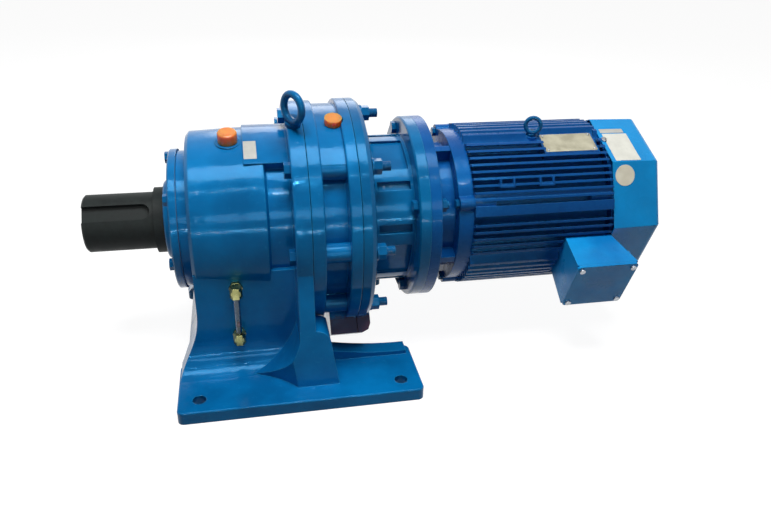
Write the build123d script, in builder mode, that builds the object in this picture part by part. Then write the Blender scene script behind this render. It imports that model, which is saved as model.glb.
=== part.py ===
from build123d import *
import os
from math import atan2, cos, pi, radians, sin

os.makedirs("parts", exist_ok=True)

# ---------------------------------------------------------------- driving dimensions (mm)
# The gear train's axis runs along X at the shaft height; the output shaft points to -X.
# Angles called theta are measured about the axis from the top towards -Y.
shaft_height = 220          # foot underside to the axis
seat = 0.02                 # radial clearance of a located or pressed fit
running = 0.05              # radial clearance of a running fit
clear = 0.5                 # radial clearance of a bolt in its hole
gasket = 0.8

# Cycloidal gearing
pin_count = 18              # ring pins; the disc has one lobe less
pin_circle = 125            # radius of the ring pin circle
pin_radius = 6
sleeve_radius = 9
eccentricity = 4
lobe_gap = 0.12             # play between a lobe and a sleeve
disc_thickness = 14
disc_bore = 50
disc_a_at = 42
disc_b_at = 61
cam_radius = 36
drive_pin_count = 8
drive_pin_circle = 78
drive_pin_radius = 9
roller_radius = 12.5

# Foot
foot_length = 368
foot_width = 484
foot_thickness = 20
foot_inner = 120            # half the gap between the two pads
hole_pitch_x = 305
hole_pitch_y = 426
foot_hole_radius = 10
foot_corner = 10

# Stations along the axis
cover_face = -178
cover_back = -166
neck_end = -150
barrel_end = -37
flange_face = 0
base_joint = 24
ring_face = base_joint + gasket
ring_joint = 97
adaptor_face = ring_joint + gasket
adaptor_step = 119
motor_flange_front = 189
motor_joint = 207
motor_flange_back = 224
shield_rim_at = 257
shield_back = 281
frame_back = 512
fan_cover_front = 514
fan_cover_back = 597

# Outer radii
flange_radius = 180
ring_core_radius = 147
ring_body_radius = 174.5
ring_right_radius = 182
sump_radius = 208
cover_radius = 111
neck_radius = 108
barrel_radius = 138
barrel_back_radius = barrel_radius + 4.5
throat_radius = 130
bell_radius = 121
motor_flange_radius = 150
motor_core_radius = 112
fin_tip_radius = 135.5
shield_rim_radius = 127
fan_cover_radius = 139.5

# Fittings
plug_thread = 8             # radius of the tapped holes for the plugs
plug_depth = 13.5
breather_at = -86
breather_theta = 15
breather_seat = barrel_radius + 3.5
filler_at = 70
filler_theta = 19
filler_head = 13
eye_bolt_at = 10
eye_bolt_theta = 21
eye_bolt_thread = 6
gauge_x = -89
gauge_z = (shaft_height - 59, 80)
gauge_thread = 5
gauge_tube_radius = 5
sump_floor = 76              # height of the sump's lowest point
drain_z = sump_floor + 16

# Output shaft and its bearings
shaft_radius = 45
shaft_tip = -312
shaft_shoulder = -206
collar_radius = 52
keyway_width = 25
keyway_depth = 9
keyway_end = -212
keyway_theta = 48
front_bearing = (-144, 55, 85)      # station of the front face, bore and outer radius
rear_bearing = (-62, 60, 90)
bearing_width = 28
drive_flange = (0, 22, 98)          # stations of its faces and its radius
chamber_radius = 114
pilot_at = 3                # needle bearing of the input shaft inside the output shaft
pilot_radius = 17.5
pilot_outer = 32
needle_radius = 4.5

# Bolts through the base, the ring and the adaptor
bolt_circle = 163
bolt_radius = 7
bolt_flats = 21
bolt_thetas = [-90, -45, 0, 45, 90]
stud_thetas = [135, 180, 225]
cover_bolt_circle = 99
cover_bolt_radius = 5
cover_bolt_thetas = [-10 + 60 * i for i in range(6)]

# Motor
motor_turn = 22.5                   # the motor is turned by this about the axis
motor_bolt_circle = 132.5
motor_bolt_radius = 6
motor_bolt_thetas = [45 + motor_turn + 90 * i for i in range(4)]
motor_shaft_radius = 19
motor_bearing = (20, 45, 23)        # bore radius, outer radius, width
motor_bearing_at = (228, 522)
frame_bore = 105
edge_round = 2.5            # rounded edges of the castings
rear_screw_circle = 116
shield_screw_circle = 123
shield_screw = 4            # radius of the screws that hold the two shields
cover_screw = 2.5
lid_screw = 2.5
shaft_core = 26             # shaft radius in the rotor
fan_journal = 17
air_gap_radius = 70
winding = 26                # reach of the winding heads past the stator core
cover_screw_thetas = [motor_turn + 90 * i for i in range(4)]

H = shaft_height
axial = Plane(origin=(0, 0, H), x_dir=(1, 0, 0), z_dir=(0, -1, 0))
axis = Axis((0, 0, H), (1, 0, 0))


def across(x):
    """Plane square to the axis at station x: local x is +Y, local y is +Z."""
    return Plane(origin=(x, 0, H), x_dir=(0, 1, 0), z_dir=(1, 0, 0))


def radial(x, theta, height):
    """Plane at a height above the axis, facing out at angle theta; local x is +X."""
    t = radians(theta)
    out = Vector(0, -sin(t), cos(t))
    return Plane(origin=Vector(x, 0, H) + out * height, x_dir=(1, 0, 0), z_dir=out)


def even(count, start=0):
    return [start + 360 * i / count for i in range(count)]


def spots(circle, thetas):
    """Places on an across() plane at the given angles of a circle about the axis."""
    return Locations(*[(-circle * sin(radians(t)), circle * cos(radians(t))) for t in thetas])


def save(part, name):
    part.part.label = name
    export_step(part.part, f"parts/{name}.step")


def ring(x0, x1, inner, outer):
    with BuildPart() as part:
        with BuildSketch(across(x0)):
            Circle(outer)
            if inner > 0:
                Circle(inner, mode=Mode.SUBTRACT)
        extrude(amount=x1 - x0)
    return part


def sector(points, start, arc):
    """Part of a solid of revolution, from angle theta = start over arc degrees."""
    t = radians(start)
    out = Vector(0, -sin(t), cos(t))
    with BuildPart() as part:
        with BuildSketch(Plane(origin=(0, 0, H), x_dir=(1, 0, 0), z_dir=Vector(1, 0, 0).cross(out))):
            with BuildLine():
                Polyline(points, close=True)
            make_face()
        revolve(axis=axis, revolution_arc=arc)
    return part


def bars(x0, x1, circle, thetas, outer, inner=0):
    """Equal round bars or tubes along the axis at the given angles of a circle."""
    with BuildPart() as part:
        with BuildSketch(across(x0)):
            with spots(circle, thetas):
                Circle(outer)
                if inner > 0:
                    Circle(inner, mode=Mode.SUBTRACT)
        extrude(amount=x1 - x0)
    return part


def hex_bars(x0, x1, circle, thetas, flats, bore=0):
    """Equal hexagonal heads or nuts along the axis at the given angles of a circle."""
    with BuildPart() as part:
        with BuildSketch(across(x0)):
            with spots(circle, thetas):
                RegularPolygon(flats / 2, 6, major_radius=False)
                if bore > 0:
                    Circle(bore, mode=Mode.SUBTRACT)
        extrude(amount=x1 - x0)
    return part


def joined(*parts):
    with BuildPart() as whole:
        for part in parts:
            add(part.part)
    return whole


# ---------------------------------------------------------------- base housing
pedestal_half = barrel_radius - 6
gauge_y = pedestal_half + 17
pedestal_foot = 166         # half width of the pedestal where it meets the pads
pedestal_flare = 68         # height at which the pedestal starts to flare
gusset_top = 118
rib_height = 46
pad_from = -65
plate_foot = 208            # half width of the flange plate where it meets the pads
arch_half = 112
arch_height = 44


def side_section(points):
    """Symmetric section on an across() plane from the points of its +Y half, top first."""
    return points + [(-y, z) for y, z in reversed(points)]


plate_section = side_section([(flange_radius * sin(radians(98)), flange_radius * cos(radians(98))),
                              (plate_foot, foot_thickness - H)])
# pedestal: its section flares along the pads, its side view flares towards the output end
with BuildPart() as pedestal:
    with BuildSketch(across(-foot_length / 2)):
        with BuildLine():
            flare_top = pedestal_flare - H
            foot_top = foot_thickness - H
            Line((-pedestal_half, -36), (pedestal_half, -36))
            Line((pedestal_half, -36), (pedestal_half, flare_top))
            Spline((pedestal_half, flare_top), (pedestal_foot, foot_top),
                   tangents=((0, -1), (1, -0.25)))
            Line((pedestal_foot, foot_top), (-pedestal_foot, foot_top))
            Spline((-pedestal_foot, foot_top), (-pedestal_half, flare_top),
                   tangents=((1, 0.25), (0, 1)))
            Line((-pedestal_half, flare_top), (-pedestal_half, -36))
        make_face()
    extrude(amount=foot_length / 2 + flange_face)
    with BuildSketch(Plane.XZ):
        with BuildLine():
            Spline((neck_end, gusset_top), (2 - foot_length / 2, foot_thickness), tangents=((0, -1), (-0.5, -1)))
            Polyline((2 - foot_length / 2, foot_thickness), (flange_face, foot_thickness), (flange_face, H),
                     (neck_end, H), (neck_end, gusset_top))
        make_face()
    extrude(amount=foot_width, both=True, mode=Mode.INTERSECT)

# curved flares from the flange plate down to the pads, on both of its faces
with BuildPart() as flares:
    with BuildSketch(across(-80)):
        with BuildLine():
            Polyline(plate_section, close=True)
        make_face()
        Rectangle(2 * pedestal_half - 8, 2 * H, mode=Mode.SUBTRACT)
        Circle(flange_radius + 4, mode=Mode.SUBTRACT)
    extrude(amount=180)
    with BuildSketch(Plane.XZ):
        with BuildLine():
            Spline((-80, foot_thickness), (flange_face, 92), tangents=((1, 0.1), (0.3, 1)))
            Polyline((flange_face, 92), (flange_face, 108), (base_joint, 108))
            ThreePointArc((base_joint, 108), (base_joint + 16, 102), (base_joint + 23, 86))
            Polyline((base_joint + 23, 86), (base_joint + 33, foot_thickness), (base_joint + 33, 0),
                     (-80, 0), (-80, foot_thickness))
        make_face()
    extrude(amount=foot_width, both=True, mode=Mode.INTERSECT)
    with BuildSketch(Plane.XY):
        with BuildLine():
            edge = pedestal_foot - 6
            Line((-80, -edge), (-80, edge))
            RadiusArc((-80, edge), (flange_face - 6, plate_foot), -130)
            Polyline((flange_face - 6, plate_foot), (100, plate_foot), (100, -plate_foot),
                     (flange_face - 6, -plate_foot))
            RadiusArc((flange_face - 6, -plate_foot), (-80, -edge), -130)
        make_face()
    extrude(amount=H, mode=Mode.INTERSECT)

with BuildPart() as plate:
    with BuildSketch(across(flange_face)):
        Circle(flange_radius)
        with BuildLine():
            Polyline(plate_section, close=True)
        make_face()
    extrude(amount=base_joint - flange_face)
    fillet(plate.edges().group_by(Axis.X)[0], edge_round)
pad_width = foot_width / 2 - foot_inner
with BuildPart() as pads:
    with BuildSketch(Plane.XY):
        with GridLocations(0, foot_width - pad_width, 1, 2):
            RectangleRounded(foot_length, pad_width, foot_corner)
    extrude(amount=foot_thickness)
    fillet(pads.edges().group_by(Axis.Z)[-1], edge_round)

with BuildPart() as base_housing:
    # bearing barrel with its neck at the output end and its throat at the flange
    with BuildSketch(axial):
        with BuildLine():
            Polyline((cover_back + gasket, 0), (cover_back + gasket, neck_radius), (neck_end, neck_radius),
                     (neck_end, barrel_radius - 5), (neck_end + 5, barrel_radius),
                     (barrel_end, barrel_back_radius), (barrel_end + 4, throat_radius),
                     (flange_face, throat_radius), (flange_face, 0), close=True)
        make_face()
    revolve(axis=axis)
    # raised pad along the top of the barrel, which runs on to the flange
    add(sector([(pad_from, barrel_radius - 20), (pad_from, barrel_back_radius + 2),
                (flange_face, barrel_back_radius + 2), (flange_face, barrel_radius - 20)], -36, 72).part)
    # pedestal under the barrel, flange plate running down to the pads
    add(pedestal.part)
    add(plate.part)
    add(flares.part)
    add(pads.part)
    for side in (-1, 1):
        # stiffening rib along the inner edge of the free wing
        with BuildSketch(Plane.XZ.offset(-foot_inner - 26 if side < 0 else foot_inner)):
            with BuildLine():
                ThreePointArc((base_joint, rib_height), (foot_length / 4, rib_height - 14),
                              (foot_length / 2 - 9, foot_thickness + 7))
                Polyline((foot_length / 2 - 9, foot_thickness + 7), (foot_length / 2 - 9, foot_thickness - 1),
                         (base_joint, foot_thickness - 1), (base_joint, rib_height))
            make_face()
        extrude(amount=26)
    # arch between the pads
    with BuildSketch(Plane.YZ.offset(-foot_length / 2 - 1)):
        with BuildLine():
            Polyline((-arch_half, -1), (-arch_half, arch_height - 20), (-arch_half + 20, arch_height),
                     (arch_half - 20, arch_height), (arch_half, arch_height - 20), (arch_half, -1),
                     close=True)
        make_face()
    extrude(amount=foot_length + 2, mode=Mode.SUBTRACT)
    # bearing bores, the grease space between them and the drive flange chamber
    front_end = front_bearing[0] + bearing_width
    rear_end = rear_bearing[0] + bearing_width
    with BuildSketch(axial):
        with BuildLine():
            Polyline((cover_back - 1, 0), (cover_back - 1, front_bearing[2] + seat),
                     (front_end, front_bearing[2] + seat), (front_end, front_bearing[2] - 7),
                     (rear_bearing[0], front_bearing[2] - 7), (rear_bearing[0], rear_bearing[2] + seat),
                     (rear_end, rear_bearing[2] + seat), (rear_end, chamber_radius),
                     (base_joint + 1, chamber_radius), (base_joint + 1, 0), close=True)
        make_face()
    revolve(axis=axis, mode=Mode.SUBTRACT)
    # oil sump under the chamber
    with BuildSketch(Plane.YZ.offset(rear_end + 2)):
        with Locations((0, sump_floor + 40)):
            Rectangle(140, 80)
    extrude(amount=flange_face - rear_end - 4, mode=Mode.SUBTRACT)
    # flat seats for the breather and the eye bolt, gauge tappings
    with BuildSketch(radial(breather_at, breather_theta, breather_seat - plug_depth)):
        Circle(19)
    extrude(amount=plug_depth)
    with BuildSketch(radial(breather_at, breather_theta, front_bearing[2] - 1)):
        Circle(plug_thread)
    extrude(amount=breather_seat - front_bearing[2] + 2, mode=Mode.SUBTRACT)
    with BuildSketch(radial(eye_bolt_at, eye_bolt_theta, flange_radius - 4 * eye_bolt_thread)):
        Circle(eye_bolt_thread)
    extrude(amount=5 * eye_bolt_thread, mode=Mode.SUBTRACT)
    with BuildSketch(radial(eye_bolt_at, eye_bolt_theta, flange_radius)):
        Circle(2 * eye_bolt_thread + clear)
    extrude(amount=eye_bolt_thread, mode=Mode.SUBTRACT)
    with BuildSketch(Plane.XZ.offset(pedestal_half - 22)):
        with Locations((gauge_x, gauge_z[0]), (gauge_x, gauge_z[1])):
            Circle(gauge_thread)
    extrude(amount=30, mode=Mode.SUBTRACT)
    # drain tapping and its spot face at the output end of the sump
    with BuildSketch(Plane.YZ.offset(neck_end)):
        with Locations((0, drain_z)):
            Circle(2 * plug_thread)
    extrude(amount=-(foot_length / 2 + neck_end), mode=Mode.SUBTRACT)
    with BuildSketch(Plane.YZ.offset(neck_end - 1)):
        with Locations((0, drain_z)):
            Circle(plug_thread)
    extrude(amount=24, mode=Mode.SUBTRACT)
    # holes for the foot bolts, the through bolts, the studs and the cover bolts
    with Locations((0, 0, foot_thickness)):
        with GridLocations(hole_pitch_x, hole_pitch_y, 2, 2):
            Hole(foot_hole_radius, foot_thickness)
    with BuildSketch(across(flange_face - 1)):
        with spots(bolt_circle, bolt_thetas):
            Circle(bolt_radius + clear)
    extrude(amount=base_joint - flange_face + 2, mode=Mode.SUBTRACT)
    with BuildSketch(across(flange_face - 6)):
        with spots(bolt_circle, stud_thetas):
            Circle(bolt_radius + seat)
    extrude(amount=base_joint - flange_face + 8, mode=Mode.SUBTRACT)
    with BuildSketch(across(cover_back - 1)):
        with spots(cover_bolt_circle, cover_bolt_thetas):
            Circle(cover_bolt_radius + seat)
    extrude(amount=26, mode=Mode.SUBTRACT)
save(base_housing, "base_housing")

# ---------------------------------------------------------------- output end
with BuildPart() as cover_gasket:
    with BuildSketch(across(cover_back)):
        Circle(cover_radius)
        Circle(front_bearing[2] + 1, mode=Mode.SUBTRACT)
        with spots(cover_bolt_circle, cover_bolt_thetas):
            Circle(cover_bolt_radius + clear, mode=Mode.SUBTRACT)
    extrude(amount=gasket)
save(cover_gasket, "cover_gasket")

hub_radius = 62
output_seal = (-176, 52, 66)        # station, bore and outer radius
spigot_end = front_bearing[0]
with BuildPart() as output_cover:
    with BuildSketch(axial):
        with BuildLine():
            Polyline((cover_face - 12, collar_radius + 1), (cover_face - 12, hub_radius - 2),
                     (cover_face - 10, hub_radius), (cover_face, hub_radius + 3),
                     (cover_face, cover_radius - 2), (cover_face + 2, cover_radius),
                     (cover_back, cover_radius), (cover_back, front_bearing[2] - seat),
                     (spigot_end - seat, front_bearing[2] - seat),
                     (spigot_end - seat, front_bearing[2] - 9), (cover_back, front_bearing[2] - 9),
                     (cover_back, output_seal[2] + seat), (output_seal[0], output_seal[2] + seat),
                     (output_seal[0], collar_radius + 1), close=True)
        make_face()
    revolve(axis=axis)
    with BuildSketch(across(cover_face - 1)):
        with spots(cover_bolt_circle, cover_bolt_thetas):
            Circle(cover_bolt_radius + clear)
    extrude(amount=cover_back - cover_face + 2, mode=Mode.SUBTRACT)
save(output_cover, "output_cover")

save(joined(
    bars(cover_face, cover_back + 20, cover_bolt_circle, cover_bolt_thetas, cover_bolt_radius),
    hex_bars(cover_face - 6.4, cover_face, cover_bolt_circle, cover_bolt_thetas, 16),
), "cover_bolts")
save(ring(output_seal[0], output_seal[0] + 9, output_seal[1] + running, output_seal[2]), "output_oil_seal")

with BuildPart() as output_shaft:
    tip_chamfer = 3
    with BuildSketch(axial):
        with BuildLine():
            Polyline((shaft_tip, 0), (shaft_tip, shaft_radius - tip_chamfer),
                     (shaft_tip + tip_chamfer, shaft_radius), (shaft_shoulder, shaft_radius),
                     (shaft_shoulder, collar_radius), (front_bearing[0], collar_radius),
                     (front_bearing[0], front_bearing[1]), (front_end, front_bearing[1]),
                     (front_end, rear_bearing[1] - 1), (rear_bearing[0], rear_bearing[1] - 1),
                     (rear_bearing[0], rear_bearing[1]), (rear_end, rear_bearing[1]),
                     (rear_end, rear_bearing[1] + 12), (drive_flange[0], rear_bearing[1] + 16),
                     (drive_flange[0], drive_flange[2]), (drive_flange[1], drive_flange[2]),
                     (drive_flange[1], pilot_outer + seat), (pilot_at - 1, pilot_outer + seat),
                     (pilot_at - 1, pilot_radius + 0.5), (-12, pilot_radius + 0.5), (-12, 0), close=True)
        make_face()
    revolve(axis=axis)
    # open-ended keyway
    with BuildSketch(radial(0, keyway_theta, shaft_radius - keyway_depth)):
        with Locations(((shaft_tip + keyway_end - keyway_width / 2) / 2, 0)):
            Rectangle(keyway_end - keyway_width / 2 - shaft_tip, keyway_width)
        with Locations((keyway_end - keyway_width / 2, 0)):
            Circle(keyway_width / 2)
    extrude(amount=keyway_depth * 2, mode=Mode.SUBTRACT)
    # jacking thread in the shaft end, press holes for the drive pins
    with BuildSketch(across(shaft_tip)):
        Circle(10)
    extrude(amount=40, mode=Mode.SUBTRACT)
    with BuildSketch(across(drive_flange[0] - 1)):
        with spots(drive_pin_circle, even(drive_pin_count)):
            Circle(drive_pin_radius + seat)
    extrude(amount=drive_flange[1] + 2, mode=Mode.SUBTRACT)
save(output_shaft, "output_shaft")


def bearing(name, at, bore, outer, width, count):
    """Roller bearing: outer ring, inner ring and rollers as three pieces."""
    wall = (outer - bore) * 0.27
    roller = ((outer - wall) - (bore + wall)) / 2 - running
    save(ring(at, at + width, outer - wall, outer), name + "_outer_ring")
    save(ring(at, at + width, bore + seat, bore + wall), name + "_inner_ring")
    save(bars(at + 4, at + width - 4, (bore + outer) / 2, even(count), roller), name + "_rollers")


bearing("front_bearing", front_bearing[0], front_bearing[1], front_bearing[2], bearing_width, 18)
bearing("rear_bearing", rear_bearing[0], rear_bearing[1], rear_bearing[2], bearing_width, 18)

drive_pin_end = 78
save(bars(drive_flange[0], drive_pin_end, drive_pin_circle, even(drive_pin_count), drive_pin_radius), "drive_pins")
save(bars(drive_flange[1] + 1, drive_pin_end - 1, drive_pin_circle, even(drive_pin_count), roller_radius,
          drive_pin_radius + running), "drive_rollers")

# ---------------------------------------------------------------- cycloid discs
def lobe_point(t):
    """Point of the disc outline: the pin circle's epitrochoid moved inwards by one sleeve radius."""
    n = pin_count
    reach = sleeve_radius + lobe_gap
    lean = atan2(sin((1 - n) * t), pin_circle / (eccentricity * n) - cos((1 - n) * t))
    return (pin_circle * cos(t) - reach * cos(t + lean) - eccentricity * cos(n * t),
            -pin_circle * sin(t) + reach * sin(t + lean) + eccentricity * sin(n * t))


outline_steps = 12 * (pin_count - 1)


def cycloid_disc(x, side):
    """Disc at station x with its centre off the axis towards +Y (side 1) or -Y (side -1)."""
    with BuildPart() as disc:
        with BuildSketch(across(x)):
            with BuildLine():
                points = [lobe_point(2 * pi * i / outline_steps) for i in range(outline_steps)]
                Spline([(side * (y + eccentricity), side * z) for y, z in points], periodic=True)
            make_face()
            with Locations((side * eccentricity, 0)):
                Circle(disc_bore, mode=Mode.SUBTRACT)
                with spots(drive_pin_circle, even(drive_pin_count)):
                    Circle(roller_radius + eccentricity + running, mode=Mode.SUBTRACT)
        extrude(amount=disc_thickness)
    return disc


save(cycloid_disc(disc_a_at, 1), "cycloid_disc_a")
save(cycloid_disc(disc_b_at, -1), "cycloid_disc_b")

# ---------------------------------------------------------------- pin gear ring
save(joined(ring(base_joint, ring_face, chamber_radius + 12, bolt_circle - 12),
            ring(ring_joint, adaptor_face, chamber_radius + 12, bolt_circle - 12)), "ring_gaskets")

lip_radius = 121
ring_groove = (44, 80)      # stations of the open groove between the two flanges
boss_radius = 15
sump_from = 54


def sump_block(x0, x1, corner):
    """Block hanging under the ring and the adaptor, its end face at x1 rounded off by corner."""
    inner = ring_core_radius - 8
    return sector([(x0, inner), (x0, sump_radius), (x1 - corner, sump_radius),
                   (x1 - corner * 0.3, sump_radius - corner * 0.3), (x1, sump_radius - corner),
                   (x1, inner)], 140, 80)


with BuildPart() as ring_flanges:
    with BuildSketch(across(ring_face)):
        Circle(flange_radius)
    extrude(amount=ring_groove[0] - ring_face)
    fillet(ring_flanges.edges().group_by(Axis.X)[-1], edge_round)
with BuildPart() as ring_back_flange:
    with BuildSketch(across(ring_groove[1])):
        Circle(ring_right_radius)
    extrude(amount=ring_joint - ring_groove[1])
    fillet(ring_back_flange.edges().group_by(Axis.X)[0], edge_round)
with BuildPart() as pin_gear_ring:
    add(ring_flanges.part)
    add(ring_back_flange.part)
    with BuildSketch(across(ring_groove[0])):
        Circle(ring_core_radius)
        # solid block on top, round bosses where the bolts cross the groove
        with BuildLine():
            reach = ring_body_radius
            Line((0, 0), (-reach * sin(pi / 4), reach * cos(pi / 4)))
            RadiusArc((-reach * sin(pi / 4), reach * cos(pi / 4)), (reach * sin(pi / 4), reach * cos(pi / 4)),
                      reach)
            Line((reach * sin(pi / 4), reach * cos(pi / 4)), (0, 0))
        make_face()
        with spots(bolt_circle - 4, bolt_thetas + stud_thetas):
            Circle(boss_radius)
    extrude(amount=ring_groove[1] - ring_groove[0])
    add(sump_block(sump_from, ring_joint, 0.5).part)
    # bore past the sleeves, lips that carry the pins
    middle = (36, 84.5)
    with BuildSketch(axial):
        with BuildLine():
            Polyline((ring_face - 1, 0), (ring_face - 1, lip_radius), (middle[0], lip_radius),
                     (middle[0], pin_circle + sleeve_radius + 2), (middle[1], pin_circle + sleeve_radius + 2),
                     (middle[1], lip_radius), (ring_joint + 1, lip_radius), (ring_joint + 1, 0), close=True)
        make_face()
    revolve(axis=axis, mode=Mode.SUBTRACT)
    with BuildSketch(across(ring_face - 1)):
        with spots(pin_circle, even(pin_count, -90)):
            Circle(pin_radius + seat)
        with spots(bolt_circle, bolt_thetas + stud_thetas):
            Circle(bolt_radius + clear)
    extrude(amount=ring_joint - ring_face + 2, mode=Mode.SUBTRACT)
    # spot face and tapping for the filler plug
    with BuildSketch(radial(filler_at, filler_theta, ring_body_radius)):
        Circle(filler_head + 2)
    extrude(amount=20, mode=Mode.SUBTRACT)
    with BuildSketch(radial(filler_at, filler_theta, pin_circle)):
        Circle(plug_thread)
    extrude(amount=flange_radius - pin_circle, mode=Mode.SUBTRACT)
save(pin_gear_ring, "pin_gear_ring")
save(bars(ring_face + 0.4, ring_joint - 0.4, pin_circle, even(pin_count, -90), pin_radius), "ring_pins")
save(bars(middle[0] + 0.3, middle[1] - 0.3, pin_circle, even(pin_count, -90), sleeve_radius,
          pin_radius + running), "ring_sleeves")

# ---------------------------------------------------------------- motor adaptor
input_bearing = (99, 25, 45)
input_bearing_width = 20
input_seal = (120, 34, 38)          # station, bore and outer radius
seal_gap = 0.5
hub_outer = 58
spigot_radius = 115
bell_inner = 105
with BuildPart() as motor_adaptor:
    with BuildSketch(axial):
        with BuildLine():
            Polyline((adaptor_face, 0), (adaptor_face, ring_right_radius),
                     (adaptor_step - 8, ring_right_radius), (adaptor_step - 2, ring_right_radius - 4),
                     (adaptor_step, ring_right_radius - 9),
                     (adaptor_step, bell_radius + 8), (adaptor_step + 8, bell_radius),
                     (motor_flange_front, bell_radius), (motor_flange_front, motor_flange_radius - edge_round),
                     (motor_flange_front + edge_round, motor_flange_radius),
                     (motor_joint, motor_flange_radius), (motor_joint, 0), close=True)
        make_face()
    revolve(axis=axis)
    add(sump_block(adaptor_face, adaptor_step, 14).part)
    # recesses of the bell: one wide and two narrow ones between the raised bolt panels
    for theta in motor_bolt_thetas:
        for turn, width in ((45, 66), (16, 14), (-16, 14)):
            with BuildSketch(radial((adaptor_step + motor_flange_front) / 2 + 4, theta + turn, bell_radius - 9)):
                Rectangle(motor_flange_front - adaptor_step - 18, width)
            extrude(amount=30, mode=Mode.SUBTRACT)
    with BuildSketch(axial):
        with BuildLine():
            Polyline((adaptor_face - 1, 0), (adaptor_face - 1, input_bearing[2] + seat),
                     (input_bearing[0] + input_bearing_width, input_bearing[2] + seat),
                     (input_bearing[0] + input_bearing_width, input_seal[2] + seat),
                     (input_seal[0] + 11, input_seal[2] + seat), (input_seal[0] + 11, hub_outer), (adaptor_step + 2, hub_outer), (adaptor_step + 2, bell_inner - 6),
                     (adaptor_step + 8, bell_inner), (motor_joint - 5, bell_inner),
                     (motor_joint - 5, spigot_radius), (motor_joint + 1, spigot_radius),
                     (motor_joint + 1, 0), close=True)
        make_face()
    revolve(axis=axis, mode=Mode.SUBTRACT)
    with BuildSketch(across(adaptor_face - 1)):
        with spots(bolt_circle, bolt_thetas + stud_thetas):
            Circle(bolt_radius + clear)
    extrude(amount=adaptor_step - adaptor_face + 2, mode=Mode.SUBTRACT)
    with BuildSketch(across(motor_flange_front - 1)):
        with spots(motor_bolt_circle, motor_bolt_thetas):
            Circle(motor_bolt_radius + clear)
    extrude(amount=motor_joint - motor_flange_front + 2, mode=Mode.SUBTRACT)
save(motor_adaptor, "motor_adaptor")

# through bolts above the pedestal, studs tapped into the base where it blocks the way
washer = 2.5
nut_height = 12
bolt_end = 147
save(joined(
    bars(flange_face, bolt_end, bolt_circle, bolt_thetas, bolt_radius),
    hex_bars(flange_face - 9, flange_face, bolt_circle, bolt_thetas, bolt_flats),
), "through_bolts")
save(bars(flange_face - 5, bolt_end, bolt_circle, stud_thetas, bolt_radius), "through_studs")
save(bars(adaptor_step, adaptor_step + washer, bolt_circle, bolt_thetas + stud_thetas, 13,
          bolt_radius + 0.3), "through_washers")
save(hex_bars(adaptor_step + washer, adaptor_step + washer + nut_height, bolt_circle,
              bolt_thetas + stud_thetas, bolt_flats, bolt_radius + seat), "through_nuts")
save(joined(
    bars(motor_flange_front, motor_flange_back + 14, motor_bolt_circle, motor_bolt_thetas, motor_bolt_radius),
    hex_bars(motor_flange_front - 7.5, motor_flange_front, motor_bolt_circle, motor_bolt_thetas, 18),
), "motor_flange_bolts")
save(hex_bars(motor_flange_back, motor_flange_back + 10, motor_bolt_circle, motor_bolt_thetas, 18,
              motor_bolt_radius + seat), "motor_flange_nuts")

# ---------------------------------------------------------------- input shaft
hollow_at = 127
hollow_end = 201
with BuildPart() as input_shaft:
    with BuildSketch(axial):
        with BuildLine():
            Polyline((-8, 0), (-8, pilot_radius), (25, pilot_radius), (25, 24), (disc_a_at, 24), (disc_a_at, 31),
                     (input_bearing[0] - 4, 31), (input_bearing[0] - 4, 32),
                     (input_bearing[0], 32), (input_bearing[0], input_bearing[1]),
                     (hollow_at - 4, input_bearing[1]), (hollow_at - 4, input_seal[1]), (hollow_end, input_seal[1]),
                     (hollow_end, 0), close=True)
        make_face()
    revolve(axis=axis)
    # the two cams stand on opposite sides of the axis
    for at, side in ((disc_a_at, 1), (disc_b_at, -1)):
        with BuildSketch(across(at)):
            with Locations((side * eccentricity, 0)):
                Circle(cam_radius)
        extrude(amount=disc_thickness)
    with BuildSketch(across(hollow_at)):
        Circle(motor_shaft_radius + seat)
    extrude(amount=hollow_end - hollow_at + 1, mode=Mode.SUBTRACT)
save(input_shaft, "input_shaft")

cam_roller_radius = (disc_bore - cam_radius) / 2 - running


def cam_rollers(at, side):
    with BuildPart() as part:
        with BuildSketch(across(at + 1)):
            with Locations((side * eccentricity, 0)):
                with PolarLocations((disc_bore + cam_radius) / 2, 15):
                    Circle(cam_roller_radius)
        extrude(amount=disc_thickness - 2)
    return part


save(joined(cam_rollers(disc_a_at, 1), cam_rollers(disc_b_at, -1)), "cam_rollers")
bearing("input_bearing", *input_bearing, input_bearing_width, 12)
save(ring(pilot_at, pilot_at + 16, pilot_radius + 2 * (needle_radius + running), pilot_outer),
     "pilot_bearing_cup")
save(bars(pilot_at + 1, pilot_at + 15, pilot_radius + needle_radius + running, even(13), needle_radius),
     "pilot_bearing_needles")
save(ring(input_seal[0], input_seal[0] + 10, input_seal[1] + seal_gap, input_seal[2]), "input_oil_seal")

# ---------------------------------------------------------------- motor
bearing_bore, bearing_rim, motor_bearing_width = motor_bearing
front_motor_bearing, rear_motor_bearing = motor_bearing_at


def shield_ears(x0, x1):
    """Four ears on a shield rim with holes for its screws."""
    with BuildPart() as part:
        with BuildSketch(across(x0)):
            with spots(shield_screw_circle, motor_bolt_thetas):
                Circle(12)
            Circle(bell_inner, mode=Mode.SUBTRACT)
        extrude(amount=x1 - x0)
    return part


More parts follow.
